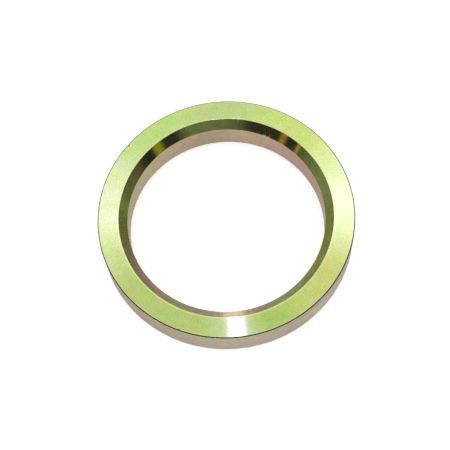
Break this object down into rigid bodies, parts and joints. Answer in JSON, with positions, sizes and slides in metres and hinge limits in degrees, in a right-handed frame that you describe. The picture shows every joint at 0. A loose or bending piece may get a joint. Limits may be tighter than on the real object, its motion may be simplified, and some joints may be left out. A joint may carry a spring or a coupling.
{
  "type": "oil seal wear ring",
  "caption": "Turned steel ring with yellow passivated zinc plate: its bore presses onto an axle, a wide 45 degree cone leads in, and an oil seal's lip runs on the outside.",
  "frame": {"origin": "centre of the plain back face, on the bore's axis", "axes": "+Z along the bore's axis, from the plain back face to the front face with the lead-in cone; X and Y are free, as the ring is round"},
  "size_m": [0.11, 0.11, 0.016],
  "materials": {
    "zinc_plated_steel": "fine turned steel, zinc plated, with yellow iridescent passivate"
  },
  "bodies": {
    "root": {"wear_ring": "zinc_plated_steel"}
  },
  "joints": []
}
